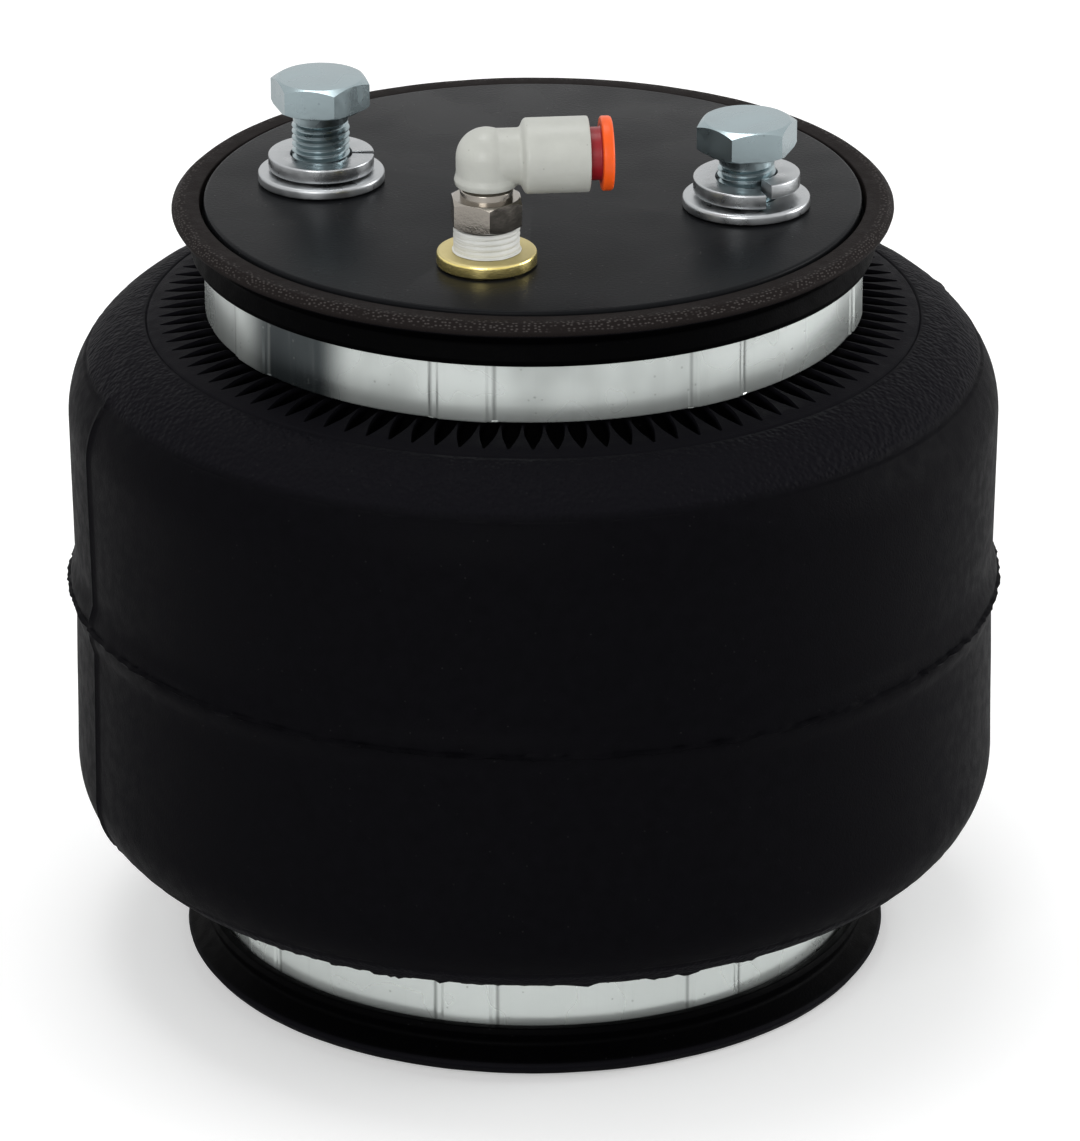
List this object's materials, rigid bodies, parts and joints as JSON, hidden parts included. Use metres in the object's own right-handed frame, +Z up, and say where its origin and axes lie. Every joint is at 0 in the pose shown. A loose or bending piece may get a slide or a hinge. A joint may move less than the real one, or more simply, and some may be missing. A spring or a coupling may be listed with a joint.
{
  "type": "air suspension spring",
  "caption": "Air spring: a rubber sleeve crimped between two end caps, with mounting bolts and a swivelling push-in air fitting on top. The top strokes up and down.",
  "frame": {"origin": "middle of the lower cap's outer face, on which the spring stands", "axes": "+Z up along the sleeve's axis to the upper cap; +X the way the elbow's tube socket points at rest"},
  "size_m": [0.1544, 0.154, 0.1548],
  "materials": {
    "nylon": "satin black moulded nylon",
    "rubber": "moulded black rubber",
    "zinc": "zinc plated steel",
    "blue_zinc": "blue-white zinc plated steel",
    "brass": "turned brass",
    "nickel": "nickel plated brass",
    "grey_resin": "light grey moulded resin",
    "orange_resin": "orange moulded resin",
    "stainless": "stainless spring steel",
    "seal": "black seal rubber"
  },
  "bodies": {
    "base": {"lower_end_cap": "nylon", "lower_insert_left": "blue_zinc", "lower_insert_right": "blue_zinc", "lower_crimp_ring": "zinc", "bellows": "rubber"},
    "top": {"upper_end_cap": "nylon", "upper_insert_left": "blue_zinc", "upper_insert_right": "blue_zinc", "upper_crimp_ring": "zinc", "flat_washer_left": "zinc", "flat_washer_right": "zinc", "lock_washer_left": "zinc", "lock_washer_right": "zinc", "port_bushing": "brass", "fitting_stud": "nickel", "swivel_o_ring": "seal"},
    "elbow": {"elbow_body": "grey_resin", "tube_seal": "seal", "collet": "stainless", "collet_guide": "brass"},
    "collar": {"release_collar": "orange_resin"},
    "left_bolt": {"bolt_left": "blue_zinc"},
    "right_bolt": {"bolt_right": "blue_zinc"}
  },
  "joints": [
    {"name": "stroke", "type": "slide", "parent": "base", "child": "top", "axis": [0, 0, 1], "range_m": [-0.052, 0.04], "stiffness_N_per_m": 6000, "deforming": ["bellows"]},
    {"name": "elbow_swivel", "type": "hinge", "parent": "top", "child": "elbow", "pos_m": [-0.01006, -0.03132, 0.1488], "axis": [0, 0, 1], "continuous": true},
    {"name": "collar_push", "type": "slide", "parent": "elbow", "child": "collar", "axis": [-1, 0, 0], "range_m": [0, 0.0015], "stiffness_N_per_m": 400},
    {"name": "bolt_left_screw", "type": "slide", "parent": "top", "child": "left_bolt", "axis": [0, 0, 1], "range_m": [-0.0073, 0.008]},
    {"name": "bolt_right_screw", "type": "slide", "parent": "top", "child": "right_bolt", "axis": [0, 0, 1], "range_m": [-0.003, 0.011]}
  ]
}
